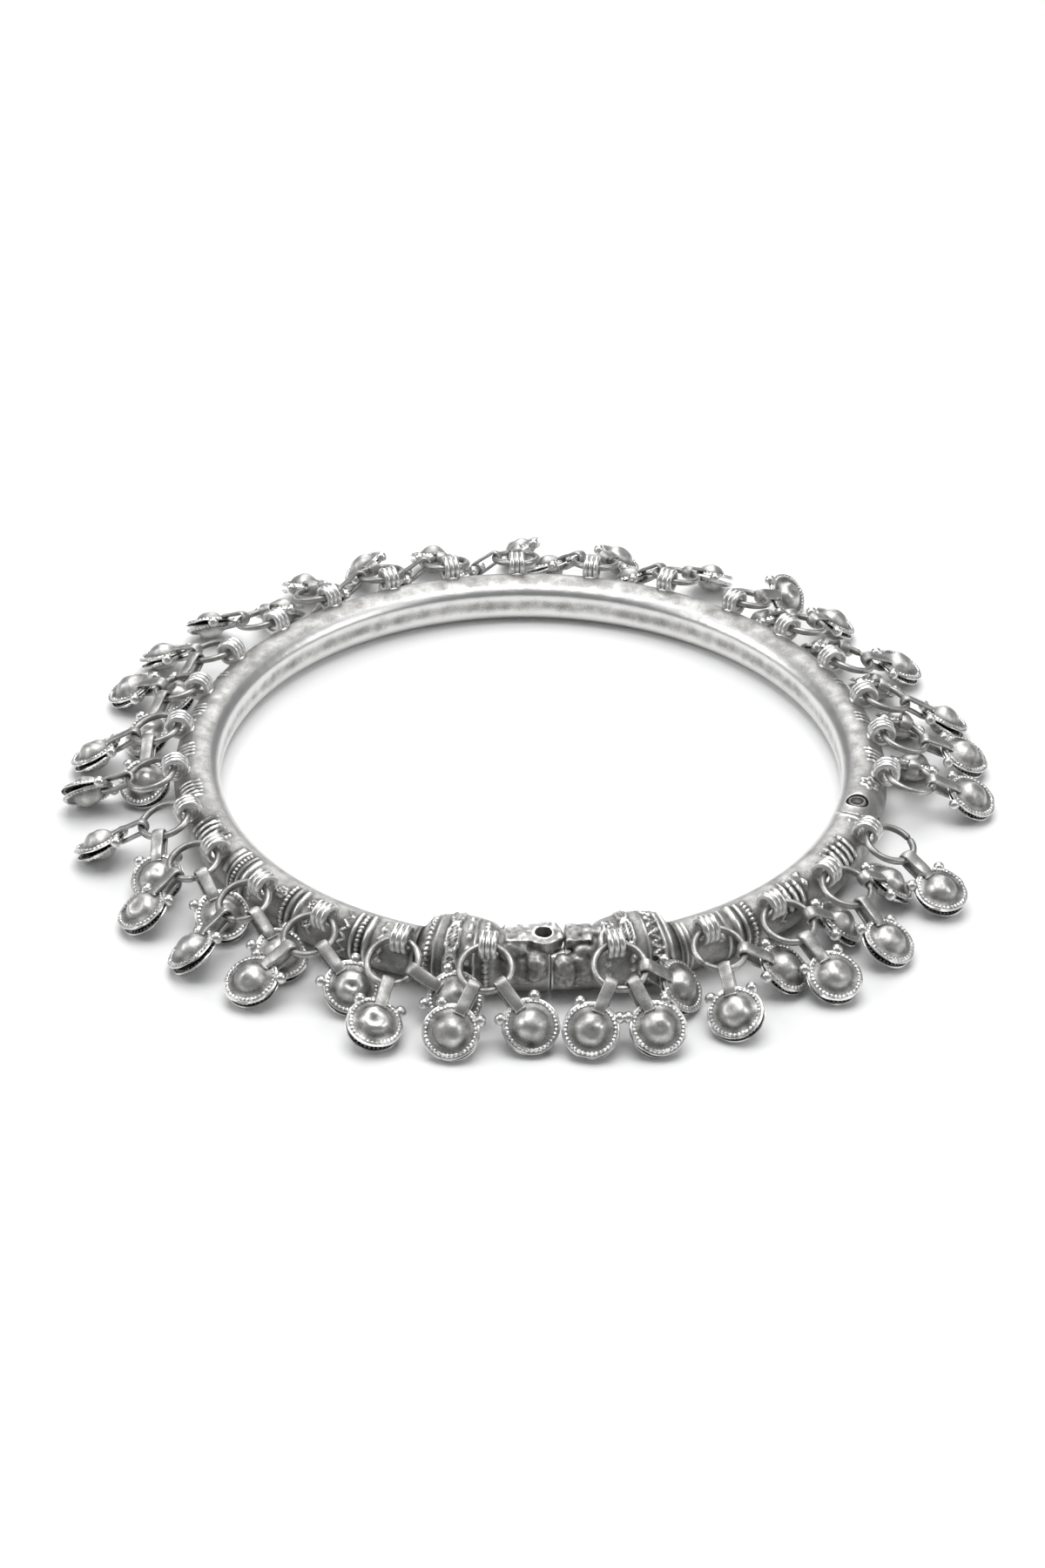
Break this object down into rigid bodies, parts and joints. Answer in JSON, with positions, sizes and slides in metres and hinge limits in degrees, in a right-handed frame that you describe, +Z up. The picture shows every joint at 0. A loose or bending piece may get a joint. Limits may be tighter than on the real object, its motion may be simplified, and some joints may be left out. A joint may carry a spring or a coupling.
{
  "type": "hinged hoop anklet with bells",
  "caption": "Rigid round metal anklet that opens on a hinge, closed by an eye for a screw, with small clam-shaped bells hanging on jump rings all round",
  "frame": {"origin": "centre of the hoop, on the surface that the anklet lies on", "axes": "+Z up along the hoop's axis, -Y towards the clasp, +X towards the side with the hinge"},
  "size_m": [0.1379, 0.1353, 0.0113],
  "materials": {
    "worn_silver": "oxidised silver, rubbed bright on raised work and on the ankle side",
    "rubbed_silver": "bright worn silver",
    "dark_silver": "grey oxidised silver, dark in the recesses"
  },
  "bodies": {
    "hoop": {"hoop": "worn_silver", "hinge_rivet": "rubbed_silver", "drop_01": "dark_silver", "drop_02": "dark_silver", "drop_03": "dark_silver", "drop_04": "dark_silver", "drop_05": "dark_silver", "drop_06": "dark_silver", "drop_07": "dark_silver", "drop_08": "dark_silver", "drop_09": "dark_silver", "drop_15": "dark_silver", "drop_16": "dark_silver", "drop_17": "dark_silver", "drop_18": "dark_silver", "drop_19": "dark_silver", "drop_20": "dark_silver", "drop_21": "dark_silver", "drop_22": "dark_silver", "drop_23": "dark_silver", "drop_24": "dark_silver", "drop_25": "dark_silver", "drop_26": "dark_silver", "drop_27": "dark_silver", "drop_28": "dark_silver"},
    "gate": {"gate": "worn_silver", "drop_10": "dark_silver", "drop_11": "dark_silver", "drop_12": "dark_silver", "drop_13": "dark_silver", "drop_14": "dark_silver"}
  },
  "joints": [
    {"name": "gate_hinge", "type": "hinge", "parent": "hoop", "child": "gate", "pos_m": [0.04737, -0.01403, 0.0036], "axis": [0, 0, 1], "range_deg": [0, 40]}
  ]
}
